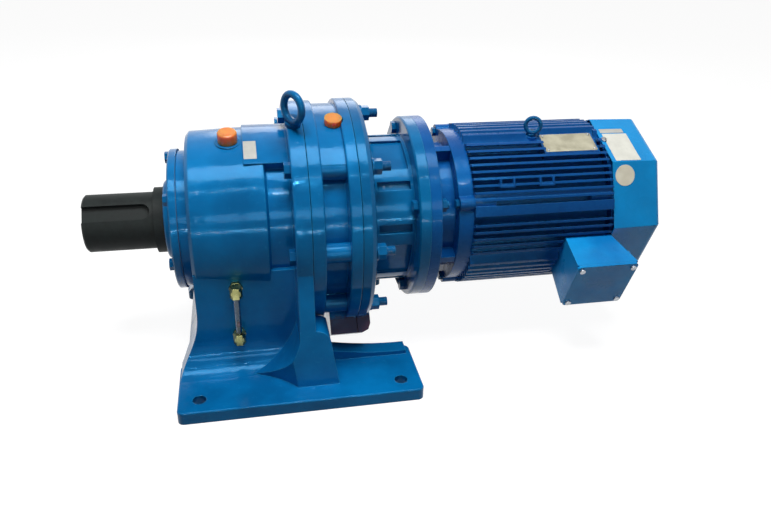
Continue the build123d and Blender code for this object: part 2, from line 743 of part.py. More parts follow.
with BuildPart() as motor_front_shield:
    with BuildSketch(axial):
        with BuildLine():
            Polyline((motor_joint - 4, motor_shaft_radius + 2), (motor_joint - 4, spigot_radius - seat),
                     (motor_joint, spigot_radius - seat), (motor_joint, motor_flange_radius),
                     (motor_flange_back, motor_flange_radius), (motor_flange_back, 102),
                     (shield_rim_at, 105), (shield_rim_at, shield_rim_radius),
                     (shield_back, shield_rim_radius), (shield_back, frame_bore - seat),
                     (shield_back + 8, frame_bore - seat), (shield_back + 8, frame_bore - 7),
                     (shield_rim_at + 2, 93), (shield_rim_at, 60), (front_motor_bearing + motor_bearing_width, 58),
                     (front_motor_bearing + motor_bearing_width, bearing_rim + seat),
                     (front_motor_bearing, bearing_rim + seat),
                     (front_motor_bearing, motor_shaft_radius + 2), close=True)
        make_face()
    revolve(axis=axis)
    add(shield_ears(shield_rim_at, shield_back).part)
    # ribs between the flange and the rim
    for theta in motor_bolt_thetas:
        with BuildSketch(radial(motor_flange_back, theta + 45, 96)):
            with Locations(((shield_rim_at - motor_flange_back) / 2, 0)):
                Rectangle(shield_rim_at - motor_flange_back, 12)
        extrude(amount=shield_rim_radius - 98)
    with BuildSketch(across(motor_joint - 1)):
        with spots(motor_bolt_circle, motor_bolt_thetas):
            Circle(motor_bolt_radius + clear)
    extrude(amount=motor_flange_back - motor_joint + 2, mode=Mode.SUBTRACT)
    with BuildSketch(across(shield_rim_at - 1)):
        with spots(shield_screw_circle, motor_bolt_thetas):
            Circle(shield_screw + clear)
    extrude(amount=shield_back - shield_rim_at + 2, mode=Mode.SUBTRACT)
save(motor_front_shield, "motor_front_shield")

fin_pitch = 11
fin_width = 4
thin_fins = [-3.5 - fin_pitch * i for i in range(9)] + [36.5 + fin_pitch * i for i in range(5)]
wide_fin = (14, 16)         # offset from the group's middle and width
box_theta = 90 + motor_turn
box_foot_at = frame_back - 38.5
box_span = (box_foot_at - 41.5, box_foot_at + 60.5)
plate_theta = motor_turn
plate_span = (frame_back - 99, frame_back - 10)
box_seat = 126
plate_seat = 126
eye_at = 398                # small eye bolt of the motor
eye_theta = 14
eye_seat = 131
eye_boss = 11
with BuildPart() as motor_frame:
    with BuildSketch(across(shield_back)):
        # four groups of straight fins, each group parallel to its own middle direction
        for theta in motor_bolt_thetas:
            with Locations(Location((0, 0, 0), (0, 0, theta))):
                with Locations(*[(-offset, fin_tip_radius - 35) for offset in thin_fins]):
                    Rectangle(fin_width, 90)
                with Locations((-wide_fin[0], fin_tip_radius - 20)):
                    Rectangle(wide_fin[1], 60)
                # shallow web between the two fins next to the wide one
                with Locations((3.5 + fin_pitch / 2, motor_core_radius)):
                    Rectangle(fin_pitch, 2 * (fin_tip_radius - motor_core_radius - 5))
        Circle(fin_tip_radius, mode=Mode.INTERSECT)
        Circle(motor_core_radius)
        Circle(frame_bore, mode=Mode.SUBTRACT)
    extrude(amount=frame_back - shield_back)
    # clear places for the terminal box and the plate, lifting lug and screw bosses
    with BuildSketch(radial(box_foot_at, box_theta, 60)):
        with Locations((0, -4)):
            Rectangle(70, 76)
    extrude(amount=box_seat - 60)
    with BuildSketch(radial(box_foot_at, box_theta, box_seat)):
        with Locations((0, -4)):
            Rectangle(84, 94)
    extrude(amount=20, mode=Mode.SUBTRACT)
    with BuildSketch(radial(sum(plate_span) / 2, plate_theta, 80)):
        Rectangle(plate_span[1] - plate_span[0] + 6, 46)
    extrude(amount=plate_seat - 80)
    with BuildSketch(radial(sum(plate_span) / 2, plate_theta, plate_seat)):
        Rectangle(plate_span[1] - plate_span[0] + 6, 46)
    extrude(amount=20, mode=Mode.SUBTRACT)
    with BuildSketch(radial(eye_at, eye_theta, 80)):
        Circle(eye_boss)
    extrude(amount=eye_seat - 80)
    with BuildSketch(radial(eye_at, eye_theta, eye_seat)):
        Circle(eye_boss)
    extrude(amount=10, mode=Mode.SUBTRACT)
    with BuildSketch(radial(eye_at, eye_theta, eye_seat - 18)):
        Circle(4)
    extrude(amount=20, mode=Mode.SUBTRACT)
    with BuildSketch(across(shield_back)):
        with spots(shield_screw_circle, motor_bolt_thetas):
            Circle(11)
    extrude(amount=34)
    with BuildSketch(across(frame_back)):
        with spots(rear_screw_circle, motor_bolt_thetas):
            Circle(9)
    extrude(amount=-34)
    with BuildSketch(across(shield_back - 1)):
        Circle(frame_bore)
    extrude(amount=frame_back - shield_back + 2, mode=Mode.SUBTRACT)
    for at, circle in ((shield_back, shield_screw_circle), (frame_back - 22, rear_screw_circle)):
        with BuildSketch(across(at)):
            with spots(circle, motor_bolt_thetas):
                Circle(shield_screw + seat)
        extrude(amount=22, mode=Mode.SUBTRACT)
save(motor_frame, "motor_frame")


def lifting_eye(x, theta, seat_radius, thread, eye, wire, turn):
    """Eye bolt screwed in radially: its ring has the mean radius eye and is turned about its shank."""
    with BuildPart() as bolt:
        with BuildSketch(radial(x, theta, seat_radius - 3 * thread)):
            Circle(thread - seat)
        extrude(amount=3 * thread)
        with BuildSketch(radial(x, theta, seat_radius)):
            Circle(2 * thread)
        extrude(amount=thread)
        with BuildSketch(radial(x, theta, seat_radius + thread)):
            Circle(1.5 * thread)
        extrude(amount=wire)
        shank = radial(x, theta, seat_radius + thread + eye + wire / 2).rotated((0, 0, turn))
        with Locations(Plane(origin=shank.origin, x_dir=shank.z_dir, z_dir=shank.x_dir)):
            Torus(eye, wire)
    return bolt


save(lifting_eye(eye_at, eye_theta, eye_seat, 4, 12, 3.4, 72), "motor_eye_bolt")

stator_span = (shield_back + 44, frame_back - 57)
save(ring(*stator_span, air_gap_radius + 0.25, frame_bore - seat), "stator_core")
save(joined(ring(stator_span[0] - winding, stator_span[0], 75, 96),
            ring(stator_span[1], stator_span[1] + winding, 75, 96)),
     "stator_windings")
save(ring(*stator_span, shaft_core + seat, air_gap_radius - 0.25), "rotor_core")

fan_at = 552
with BuildPart() as motor_shaft:
    end = motor_bearing_width + rear_motor_bearing
    with BuildSketch(axial):
        with BuildLine():
            Polyline((hollow_at + 1, 0), (hollow_at + 1, motor_shaft_radius), (motor_joint + 3, motor_shaft_radius),
                     (motor_joint + 3, bearing_bore), (front_motor_bearing + motor_bearing_width, bearing_bore),
                     (front_motor_bearing + motor_bearing_width, shaft_core), (rear_motor_bearing, shaft_core),
                     (rear_motor_bearing, bearing_bore), (end, bearing_bore), (end, fan_journal), (fan_at + 22, fan_journal),
                     (fan_at + 22, 0), close=True)
        make_face()
    revolve(axis=axis)
save(motor_shaft, "motor_shaft")

wall = (bearing_rim - bearing_bore) * 0.27
ball_circle = (bearing_rim + bearing_bore) / 2
save(joined(*[ring(at, at + motor_bearing_width, bearing_rim - wall, bearing_rim) for at in motor_bearing_at]),
     "motor_bearing_outer_rings")
save(joined(*[ring(at, at + motor_bearing_width, bearing_bore + seat, bearing_bore + wall)
              for at in motor_bearing_at]), "motor_bearing_inner_rings")

sheet = 2
cover_apothem = fan_cover_radius * cos(pi / 8)
cover_seat_radius = cover_apothem - sheet - 0.4
with BuildPart() as motor_rear_shield:
    with BuildSketch(axial):
        with BuildLine():
            Polyline((frame_back, frame_bore + 3), (frame_back, cover_seat_radius), (frame_back + 13, cover_seat_radius),
                     (frame_back + 13, 96), (rear_motor_bearing + motor_bearing_width + 4, 58),
                     (rear_motor_bearing + motor_bearing_width + 4, 22),
                     (rear_motor_bearing + motor_bearing_width, 22),
                     (rear_motor_bearing + motor_bearing_width, bearing_rim + seat),
                     (rear_motor_bearing, bearing_rim + seat), (rear_motor_bearing, 56),
                     (frame_back + 2, 94), (frame_back - 7, 98), (frame_back - 7, frame_bore - seat),
                     (frame_back, frame_bore - seat), close=True)
        make_face()
    revolve(axis=axis)
    with BuildSketch(across(frame_back - 8)):
        with spots(rear_screw_circle, motor_bolt_thetas):
            Circle(shield_screw + clear)
    extrude(amount=30, mode=Mode.SUBTRACT)
    for theta in cover_screw_thetas:
        with BuildSketch(radial(frame_back + 7, theta, rear_screw_circle)):
            Circle(cover_screw + seat)
        extrude(amount=12, mode=Mode.SUBTRACT)
save(motor_rear_shield, "motor_rear_shield")
save(joined(
    bars(shield_rim_at, shield_back + 20, shield_screw_circle, motor_bolt_thetas, shield_screw),
    hex_bars(shield_rim_at - 5.5, shield_rim_at, shield_screw_circle, motor_bolt_thetas, 13),
    bars(frame_back - 20, frame_back + 13, rear_screw_circle, motor_bolt_thetas, shield_screw),
    hex_bars(frame_back + 13, frame_back + 18.5, rear_screw_circle, motor_bolt_thetas, 13),
), "shield_screws")

with BuildPart() as cover_inside:
    with BuildSketch(across(fan_cover_front)):
        RegularPolygon(fan_cover_radius - sheet, 8, rotation=motor_turn * 2)
    extrude(amount=fan_cover_back - fan_cover_front - sheet, taper=1.2)
    fillet(cover_inside.edges().group_by(Axis.X)[-1], 7)
with BuildPart() as fan_cover:
    with BuildSketch(across(fan_cover_front)):
        RegularPolygon(fan_cover_radius, 8, rotation=motor_turn * 2)
    extrude(amount=fan_cover_back - fan_cover_front, taper=1.2)
    fillet(fan_cover.edges().group_by(Axis.X)[-1], 9)
    add(cover_inside.part, mode=Mode.SUBTRACT)
    # air intake slots of the end wall
    with BuildSketch(across(fan_cover_back - 2 * sheet)):
        for radius, count, length in ((46, 12, 26), (84, 24, 30)):
            with PolarLocations(radius, count):
                SlotOverall(length, 6)
    extrude(amount=3 * sheet, mode=Mode.SUBTRACT)
    # screw holes in four of the flats
    for theta in cover_screw_thetas:
        with BuildSketch(radial(frame_back + 7, theta, cover_apothem - 6)):
            Circle(cover_screw + clear)
        extrude(amount=12, mode=Mode.SUBTRACT)
save(fan_cover, "fan_cover")
with BuildPart() as fan_cover_screws:
    for theta in cover_screw_thetas:
        with BuildSketch(radial(frame_back + 7, theta, cover_apothem)):
            Circle(2 * cover_screw)
        extrude(amount=2.4)
        with BuildSketch(radial(frame_back + 7, theta, rear_screw_circle + 1)):
            Circle(cover_screw)
        extrude(amount=cover_apothem - rear_screw_circle - 1)
save(fan_cover_screws, "fan_cover_screws")

fan_radius = 104
with BuildPart() as fan:
    with BuildSketch(across(fan_at - 2)):
        Circle(30)
        Circle(fan_journal + seat, mode=Mode.SUBTRACT)
    extrude(amount=24)
    with BuildSketch(across(fan_at)):
        Circle(fan_radius)
        Circle(fan_journal + seat, mode=Mode.SUBTRACT)
    extrude(amount=3)
    with BuildSketch(across(fan_at)):
        with PolarLocations(65, 7):
            Rectangle(76, 3)
    extrude(amount=22)
save(fan, "fan")

# ---------------------------------------------------------------- terminal box and plate
box_height = (box_seat, 190)
lid_height = 195
box_middle = (box_span[0] + box_span[1]) / 2
box_t = (-54, 42)           # local span across the axis, -Y side low
box_wall = 4
lid_inset = 16              # twice the inset of the lid screws from its edge
gland_radius = 10
gland_from = 42.6
with BuildPart() as terminal_box:
    with BuildSketch(radial(box_foot_at, box_theta, box_height[0] + gasket)):
        with Locations((0, -4)):
            Rectangle(78, 84)
    with BuildSketch(radial(box_middle, box_theta, box_height[1])):
        with Locations((0, sum(box_t) / 2)):
            Rectangle(box_span[1] - box_span[0], box_t[1] - box_t[0])
    loft()
    with BuildSketch(radial(box_foot_at, box_theta, box_height[0] + 5)):
        with Locations((0, -4)):
            Rectangle(70, 76)
    with BuildSketch(radial(box_middle, box_theta, box_height[1] + 1)):
        with Locations((0, sum(box_t) / 2)):
            Rectangle(box_span[1] - box_span[0] - 2 * box_wall, box_t[1] - box_t[0] - 2 * box_wall)
    loft(mode=Mode.SUBTRACT)
    with BuildSketch(radial(box_middle, box_theta, box_height[1] - 24)):
        with Locations((0, sum(box_t) / 2)):
            with GridLocations(box_span[1] - box_span[0] - lid_inset, box_t[1] - box_t[0] - lid_inset, 2, 2):
                Circle(6)
    extrude(amount=24)
    with BuildSketch(radial(box_middle, box_theta, box_height[1] - 16)):
        with Locations((0, sum(box_t) / 2)):
            with GridLocations(box_span[1] - box_span[0] - lid_inset, box_t[1] - box_t[0] - lid_inset, 2, 2):
                Circle(lid_screw)
    extrude(amount=17, mode=Mode.SUBTRACT)
    # cable entry in the wall that faces down
    gland_out = -radial(0, box_theta, 0).y_dir
    with BuildSketch(Plane(origin=radial(box_foot_at, box_theta, 158).origin, x_dir=(1, 0, 0), z_dir=gland_out)):
        Circle(gland_radius + seat)
    extrude(amount=80, mode=Mode.SUBTRACT)
save(terminal_box, "terminal_box")
with BuildPart() as terminal_box_lid:
    with BuildSketch(radial(box_middle, box_theta, box_height[1])):
        with Locations((0, sum(box_t) / 2)):
            RectangleRounded(box_span[1] - box_span[0], box_t[1] - box_t[0], 6)
            with GridLocations(box_span[1] - box_span[0] - lid_inset, box_t[1] - box_t[0] - lid_inset, 2, 2):
                Circle(lid_screw + clear, mode=Mode.SUBTRACT)
    extrude(amount=lid_height - box_height[1])
save(terminal_box_lid, "terminal_box_lid")
with BuildPart() as cable_gland:
    gland = Plane(origin=radial(box_foot_at, box_theta, 158).origin + gland_out * gland_from,
                  x_dir=(1, 0, 0), z_dir=gland_out)
    with BuildSketch(gland):
        Circle(gland_radius)
    extrude(amount=10)
    with BuildSketch(gland.offset(10)):
        RegularPolygon(15, 6, major_radius=False)
    extrude(amount=7)
    with BuildSketch(gland.offset(17)):
        Circle(12)
    extrude(amount=9)
    with BuildSketch(gland.offset(17)):
        Circle(6)
    extrude(amount=9, mode=Mode.SUBTRACT)
save(cable_gland, "cable_gland")
with BuildPart() as lid_screws:
    with BuildSketch(radial(box_middle, box_theta, box_height[1] - 14)):
        with Locations((0, sum(box_t) / 2)):
            with GridLocations(box_span[1] - box_span[0] - lid_inset, box_t[1] - box_t[0] - lid_inset, 2, 2):
                Circle(lid_screw - seat)
    extrude(amount=lid_height - box_height[1] + 14)
    with BuildSketch(radial(box_middle, box_theta, lid_height)):
        with Locations((0, sum(box_t) / 2)):
            with GridLocations(box_span[1] - box_span[0] - lid_inset, box_t[1] - box_t[0] - lid_inset, 2, 2):
                Circle(4.6)
    extrude(amount=3)
save(lid_screws, "lid_screws")
with BuildPart() as nameplate:
    with BuildSketch(radial(sum(plate_span) / 2, plate_theta, plate_seat)):
        RectangleRounded(plate_span[1] - plate_span[0], 42, 3)
    extrude(amount=1)
save(nameplate, "nameplate")

# ---------------------------------------------------------------- fittings
with BuildPart() as breather_plug:
    with BuildSketch(radial(breather_at, breather_theta, breather_seat - plug_depth)):
        Circle(plug_thread - seat)
    extrude(amount=plug_depth)
    with BuildSketch(radial(breather_at, breather_theta, breather_seat)):
        Circle(14.5)
    extrude(amount=17)
    fillet(breather_plug.edges().filter_by(GeomType.CIRCLE).sort_by(Axis.Z)[-1:], 3)
save(breather_plug, "breather_plug")
with BuildPart() as filler_plug:
    with BuildSketch(radial(filler_at, filler_theta, ring_core_radius)):
        Circle(plug_thread - seat)
    extrude(amount=ring_body_radius - ring_core_radius)
    with BuildSketch(radial(filler_at, filler_theta, ring_body_radius)):
        Circle(filler_head)
    extrude(amount=10)
save(filler_plug, "filler_plug")
save(lifting_eye(eye_bolt_at, eye_bolt_theta, flange_radius, eye_bolt_thread, 20, 5.5, 34), "eye_bolt")

with BuildPart() as gauge_fittings:
    for z in gauge_z:
        with BuildSketch(Plane.XZ.offset(pedestal_half - 18)):
            with Locations((gauge_x, z)):
                Circle(gauge_thread - seat)
        extrude(amount=18)
        with BuildSketch(Plane.XZ.offset(pedestal_half)):
            with Locations((gauge_x, z)):
                RegularPolygon(9, 6, major_radius=False)
        extrude(amount=7)
        with BuildSketch(Plane.XZ.offset(pedestal_half + 7)):
            with Locations((gauge_x, z)):
                Circle(7)
        extrude(amount=gauge_y - pedestal_half)
        with BuildSketch(Plane.XY.offset(z - 9)):
            with Locations((gauge_x, -gauge_y)):
                RegularPolygon(8, 6, major_radius=False)
        extrude(amount=18)
    with BuildSketch(Plane.XY.offset(gauge_z[1] + 2)):
        with Locations((gauge_x, -gauge_y)):
            Circle(gauge_tube_radius)
    extrude(amount=gauge_z[0] - gauge_z[1] - 4, mode=Mode.SUBTRACT)
save(gauge_fittings, "gauge_fittings")
with BuildPart() as gauge_tube:
    with BuildSketch(Plane.XY.offset(gauge_z[1] + 2)):
        with Locations((gauge_x, -gauge_y)):
            Circle(gauge_tube_radius - seat)
            Circle(gauge_tube_radius - 1.6, mode=Mode.SUBTRACT)
    extrude(amount=gauge_z[0] - gauge_z[1] - 4)
save(gauge_tube, "gauge_tube")
with BuildPart() as drain_plug:
    with BuildSketch(Plane.YZ.offset(neck_end)):
        with Locations((0, drain_z)):
            Circle(plug_thread - seat)
    extrude(amount=20)
    with BuildSketch(Plane.YZ.offset(neck_end)):
        with Locations((0, drain_z)):
            RegularPolygon(11, 6, major_radius=False)
    extrude(amount=-10)
save(drain_plug, "drain_plug")
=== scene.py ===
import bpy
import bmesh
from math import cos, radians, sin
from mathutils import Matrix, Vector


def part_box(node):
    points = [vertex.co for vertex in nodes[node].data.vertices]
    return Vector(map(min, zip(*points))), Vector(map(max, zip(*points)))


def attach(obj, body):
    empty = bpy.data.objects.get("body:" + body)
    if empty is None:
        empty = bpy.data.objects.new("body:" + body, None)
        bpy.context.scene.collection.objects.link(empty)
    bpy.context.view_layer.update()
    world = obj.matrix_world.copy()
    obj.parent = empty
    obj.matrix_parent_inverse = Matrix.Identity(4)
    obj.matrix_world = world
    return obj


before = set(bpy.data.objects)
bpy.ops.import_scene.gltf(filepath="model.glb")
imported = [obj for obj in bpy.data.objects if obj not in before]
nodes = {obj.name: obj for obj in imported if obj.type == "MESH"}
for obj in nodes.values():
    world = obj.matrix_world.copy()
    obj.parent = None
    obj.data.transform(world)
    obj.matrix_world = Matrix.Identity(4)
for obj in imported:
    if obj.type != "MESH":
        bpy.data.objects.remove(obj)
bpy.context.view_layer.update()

# %% [markdown]
# # A cycloidal gear reducer with its flange motor
#
# The machine is a cast iron gear unit on a foot, with a finned electric motor bolted to its far side.
# The solids come from the CAD frame that was just loaded. They already have their real size and place,
# so the work here is to give each one the finish that the real piece has, to add the small things that
# a maker leaves out of a drawing, and to light and look at the whole.

MM = 0.001
shaft_low, shaft_high = (Vector(painted_corner_share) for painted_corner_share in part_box("output_shaft"))
AXIS_HEIGHT = (shaft_low.z + shaft_high.z) / 2
print("CAD pieces:", len(nodes), "axis height in mm:", round(AXIS_HEIGHT / MM, 1))

# %% [markdown]
# ## The camera
#
# A camera is a place and three directions. This one stands a little over a metre from the machine, on
# its near side, and looks down and a little to the right. The directions are worked out from three
# angles, because a matrix built from angles can be read and changed by hand.

# %% The camera
CAMERA_PLACE = Vector((-62.0, -1088.1, 693.6)) * MM
CAMERA_TURN = 0.208      # radians towards +X
CAMERA_DIP = 0.473       # radians below the horizon
CAMERA_ROLL = 0.026      # radians
LENS_MM = 33.27

look = Vector((sin(CAMERA_TURN) * cos(CAMERA_DIP), cos(CAMERA_TURN) * cos(CAMERA_DIP), -sin(CAMERA_DIP)))
level = Vector((cos(CAMERA_TURN), -sin(CAMERA_TURN), 0.0))
lift = level.cross(look)
right = cos(CAMERA_ROLL) * level + sin(CAMERA_ROLL) * lift
up = cos(CAMERA_ROLL) * lift - sin(CAMERA_ROLL) * level

camera = bpy.data.objects.new("camera", bpy.data.cameras.new("camera"))
bpy.context.collection.objects.link(camera)
camera.matrix_world = Matrix((
    (right.x, up.x, -look.x, CAMERA_PLACE.x),
    (right.y, up.y, -look.y, CAMERA_PLACE.y),
    (right.z, up.z, -look.z, CAMERA_PLACE.z),
    (0.0, 0.0, 0.0, 1.0),
))
camera.data.lens = LENS_MM
camera.data.clip_end = 50
bpy.context.scene.camera = camera
bpy.context.scene.view_settings.view_transform = "Standard"
print("camera to the gear unit, mm:", round((CAMERA_PLACE - Vector((0, 0, AXIS_HEIGHT))).length / MM))

# %% [markdown]
# ## Colours and nodes
#
# Paint makers and screens name colours by hex values, which are sRGB. Blender's shaders work in linear
# light, so one function turns one into the other. A second function adds any node with its settings
# and its links, so that each material below reads as a short list.

# %% Colours and nodes
def colour(hex_value, alpha=1.0):
    """A linear colour from an sRGB hex value."""
    parts = [int(hex_value[i:i + 2], 16) / 255 for i in (1, 3, 5)]
    linear = [p / 12.92 if p <= 0.04045 else ((p + 0.055) / 1.055) ** 2.4 for p in parts]
    return (*linear, alpha)


def add_node(material, kind, settings=None, **inputs):
    """Adds a node. settings are its own fields, inputs are values or output sockets by socket name."""
    tree = material.node_tree
    node = tree.nodes.new(kind)
    for name, value in (settings or {}).items():
        setattr(node, name, value)
    for name, value in inputs.items():
        socket = node.inputs[int(name[1:])] if name[0] == "i" and name[1:].isdigit() else \
            node.inputs[name.replace("_", " ")]
        if isinstance(value, bpy.types.NodeSocket):
            tree.links.new(value, socket)
        else:
            socket.default_value = value
    return node


def new_material(name):
    """An empty node material with its shader and its output, and the place on the object."""
    material = bpy.data.materials.new(name)
    material.use_nodes = True
    material.node_tree.nodes.clear()
    shader = add_node(material, "ShaderNodeBsdfPrincipled")
    add_node(material, "ShaderNodeOutputMaterial", Surface=shader.outputs["BSDF"])
    place = add_node(material, "ShaderNodeTexCoord").outputs["Object"]
    return material, shader, place


def connect(material, output, socket):
    material.node_tree.links.new(output, socket)


WAVES_PER_METRE = 3.2    # bands that a wave texture of scale 1 draws in a metre
print("colour check, mid grey in linear light:", round(colour("#808080")[0], 3))

# %% [markdown]
# ## Sprayed enamel on a rough casting
#
# The housing, the ring, the adaptor and the motor are grey iron castings, filled, primed and sprayed
# with a glossy alkyd enamel. Three things give it away. The paint flows out but keeps a fine orange
# peel. The sand casting below it leaves soft waves a few millimetres across. The film draws back from
# sharp edges, where it looks thinner and paler. The corners also get painted shade: a darker colour is
# mixed in where they are closed in, and between the motor's fins a lighter one paints light there instead.
# The pieces differ only in colour, gloss and a few strengths, so one recipe makes them all.
# The Bevel node rounds the shading at the edges, as paint does. The specular level is low and tinted
# blue, so that the white surroundings don't wash the colour out. On the free ends of the bolts a wave
# from the nuts outwards stands for the thread.

# %% Sprayed enamel
PEEL_MM = 1.6            # orange peel, drawn coarser than the real 0.8 mm so that it shows
CASTING_MM = 14.0
CLOUD_MM = 90.0
SPECK_MM = 7.0           # dust that settled in the wet paint
SHEEN_MM = 26.0          # patches that are handled or wiped and shine differently
PAINTED_SHADE_REACH_MM = 16.0         # how far the painted shade reaches out of corners
WAVE_DEPTH_MM = 0.9      # of the casting
PEEL_DEPTH_MM = 0.12
THREAD_DEPTH_MM = 0.7
THREAD_MM = 2.0          # pitch of the bolt threads that show through their paint


def sprayed_enamel(name, main, deep_and_shade, thin, gloss=0.14, coat=0.06, dust=0.2, waves=0.35, edge_mm=2.2,
                   painted_corner_colour=None, threads_from=None):
    """Enamel in the colour main: darker in clouds, thin on edges and specks of dust, painted shade in
    corners.
    """
    material, shader, place = new_material(name)
    clouds = add_node(material, "ShaderNodeTexNoise", Vector=place, Scale=1 / (CLOUD_MM * MM),
                      Detail=4.0)
    cloud_part = add_node(material, "ShaderNodeMapRange", Value=clouds.outputs["Fac"],
                          From_Min=0.35, From_Max=0.68)
    body = add_node(material, "ShaderNodeMix", {"data_type": "RGBA"},
                    Factor=cloud_part.outputs["Result"], i6=colour(deep_and_shade), i7=colour(main))
    specks = add_node(material, "ShaderNodeTexNoise", Vector=place, Scale=1 / (SPECK_MM * MM), Detail=5.0,
                      Roughness=0.65)
    speck_part = add_node(material, "ShaderNodeMapRange", Value=specks.outputs["Fac"],
                          From_Min=0.6, From_Max=0.78, To_Max=dust)
    dusty = add_node(material, "ShaderNodeMix", {"data_type": "RGBA"},
                     Factor=speck_part.outputs["Result"], i6=body.outputs[2], i7=colour(thin))
    # the rounded normal leaves the true one only near an edge, which is where the film is thin
    rounded = add_node(material, "ShaderNodeBevel", {"samples": 4}, Radius=edge_mm * MM)
    true_normal = add_node(material, "ShaderNodeNewGeometry").outputs["Normal"]
    agreement = add_node(material, "ShaderNodeVectorMath", {"operation": "DOT_PRODUCT"},
                         i0=rounded.outputs["Normal"], i1=true_normal)
    edge = add_node(material, "ShaderNodeMapRange", Value=agreement.outputs["Value"],
                    From_Min=0.97, From_Max=0.8, To_Max=0.45)
    edged = add_node(material, "ShaderNodeMix", {"data_type": "RGBA"}, Factor=edge.outputs["Result"],
                     i6=dusty.outputs[2], i7=colour(thin))
    # painted shade: ambient occlusion mixes a colour into closed-in corners, where shade falls; it is the
    # darker cloud colour unless a lighter one is given, which paints light there instead
    corner_occlusion = add_node(material, "ShaderNodeAmbientOcclusion", {"samples": 4}, Distance=PAINTED_SHADE_REACH_MM * MM)
    painted_corner_share = add_node(material, "ShaderNodeMapRange", Value=corner_occlusion.outputs["AO"],
                      From_Min=0.75, From_Max=0.2, To_Max=0.6)
    film = add_node(material, "ShaderNodeMix", {"data_type": "RGBA"}, Factor=painted_corner_share.outputs["Result"],
                    i6=edged.outputs[2], i7=colour(painted_corner_colour or deep_and_shade))
    connect(material, film.outputs[2], shader.inputs["Base Color"])
    patches = add_node(material, "ShaderNodeTexNoise", Vector=place, Scale=1 / (SHEEN_MM * MM), Detail=4.0)
    rough = add_node(material, "ShaderNodeMapRange", Value=patches.outputs["Fac"], From_Min=0.3,
                     From_Max=0.75, To_Min=gloss - 0.07, To_Max=gloss + 0.13)
    connect(material, rough.outputs["Result"], shader.inputs["Roughness"])
    shader.inputs["IOR"].default_value = 1.5
    shader.inputs["Specular IOR Level"].default_value = 0.32
    shader.inputs["Specular Tint"].default_value = colour("#3cb0ec")
    shader.inputs["Coat Weight"].default_value = coat
    shader.inputs["Coat Roughness"].default_value = 0.05
    sand = add_node(material, "ShaderNodeTexNoise", Vector=place, Scale=1 / (CASTING_MM * MM),
                    Detail=2.0)
    cast = add_node(material, "ShaderNodeBump", Height=sand.outputs["Fac"], Strength=waves,
                    Distance=WAVE_DEPTH_MM * MM, Normal=rounded.outputs["Normal"])
    grain = add_node(material, "ShaderNodeTexNoise", Vector=place, Scale=1 / (PEEL_MM * MM), Detail=1.0)
    peel = add_node(material, "ShaderNodeBump", Height=grain.outputs["Fac"], Strength=0.2,
                    Distance=PEEL_DEPTH_MM * MM, Normal=cast.outputs["Normal"])
    skin = peel
    if threads_from is not None:
        turns = add_node(material, "ShaderNodeTexWave", {"wave_type": "BANDS", "bands_direction": "X"},
                         Vector=place, Scale=1 / (THREAD_MM * MM * WAVES_PER_METRE))
        along = add_node(material, "ShaderNodeSeparateXYZ", Vector=place).outputs["X"]
        cut = add_node(material, "ShaderNodeMapRange", Value=along, From_Min=threads_from * MM,
                       From_Max=(threads_from + 0.5) * MM)
        depth = add_node(material, "ShaderNodeMath", {"operation": "MULTIPLY"}, i0=turns.outputs["Fac"],
                         i1=cut.outputs["Result"])
        skin = add_node(material, "ShaderNodeBump", Height=depth.outputs["Value"], Strength=0.8,
                        Distance=THREAD_DEPTH_MM * MM, Normal=peel.outputs["Normal"])
    connect(material, skin.outputs["Normal"], shader.inputs["Normal"])
    connect(material, cast.outputs["Normal"], shader.inputs["Coat Normal"])
    return material


nut_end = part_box("through_nuts")[1][0]
gear_enamel = sprayed_enamel("gear_housing_enamel", "#0679bc", "#055e98", "#34a8de")
ring_enamel = sprayed_enamel("pin_ring_enamel", "#077bbe", "#05609a", "#34a8de")
# the motor frame's corners get a lighter colour than its paint: painted light that lifts the shade between
# the fins
motor_enamel = sprayed_enamel("motor_frame_enamel", "#094c92", "#084384", "#2f7cbc", gloss=0.26,
                              edge_mm=1.2, painted_corner_colour="#3a96dc")
shield_enamel = sprayed_enamel("motor_shield_enamel", "#065ba6", "#044184", "#2a86c6", gloss=0.26)
bolt_enamel = sprayed_enamel("overpainted_bolt_enamel", "#076ca8", "#045086", "#34a0d8", edge_mm=1.0,
                             threads_from=nut_end / MM)
cover_enamel = sprayed_enamel("fan_cover_enamel", "#0a9ae2", "#0888cc", "#4cb6e6", gloss=0.24, coat=0.1,
                              dust=0.15, waves=0.1, edge_mm=1.4)
box_enamel = sprayed_enamel("terminal_box_enamel", "#1aa2ea", "#0d7ac2", "#55b4e6", gloss=0.3,
                            waves=0.15, edge_mm=1.6)
print("enamels:", [m.name for m in bpy.data.materials if "enamel" in m.name])

# %% [markdown]
# ## Red-brown below the ring
#
# The ring and the adaptor beside it get their enamel with a red-brown mixed in below a height, on the
# sump below the ring. Noise moves the border up and down by a few millimetres, so that it is not a
# straight line.

# %% Red-brown below the ring
RED_BROWN_TOP_MM = 82.0     # above the foot's underside
WANDER_MM = 6.0
BLEND_MM = 2.5
BORDER_NOISE_MM = 12.0


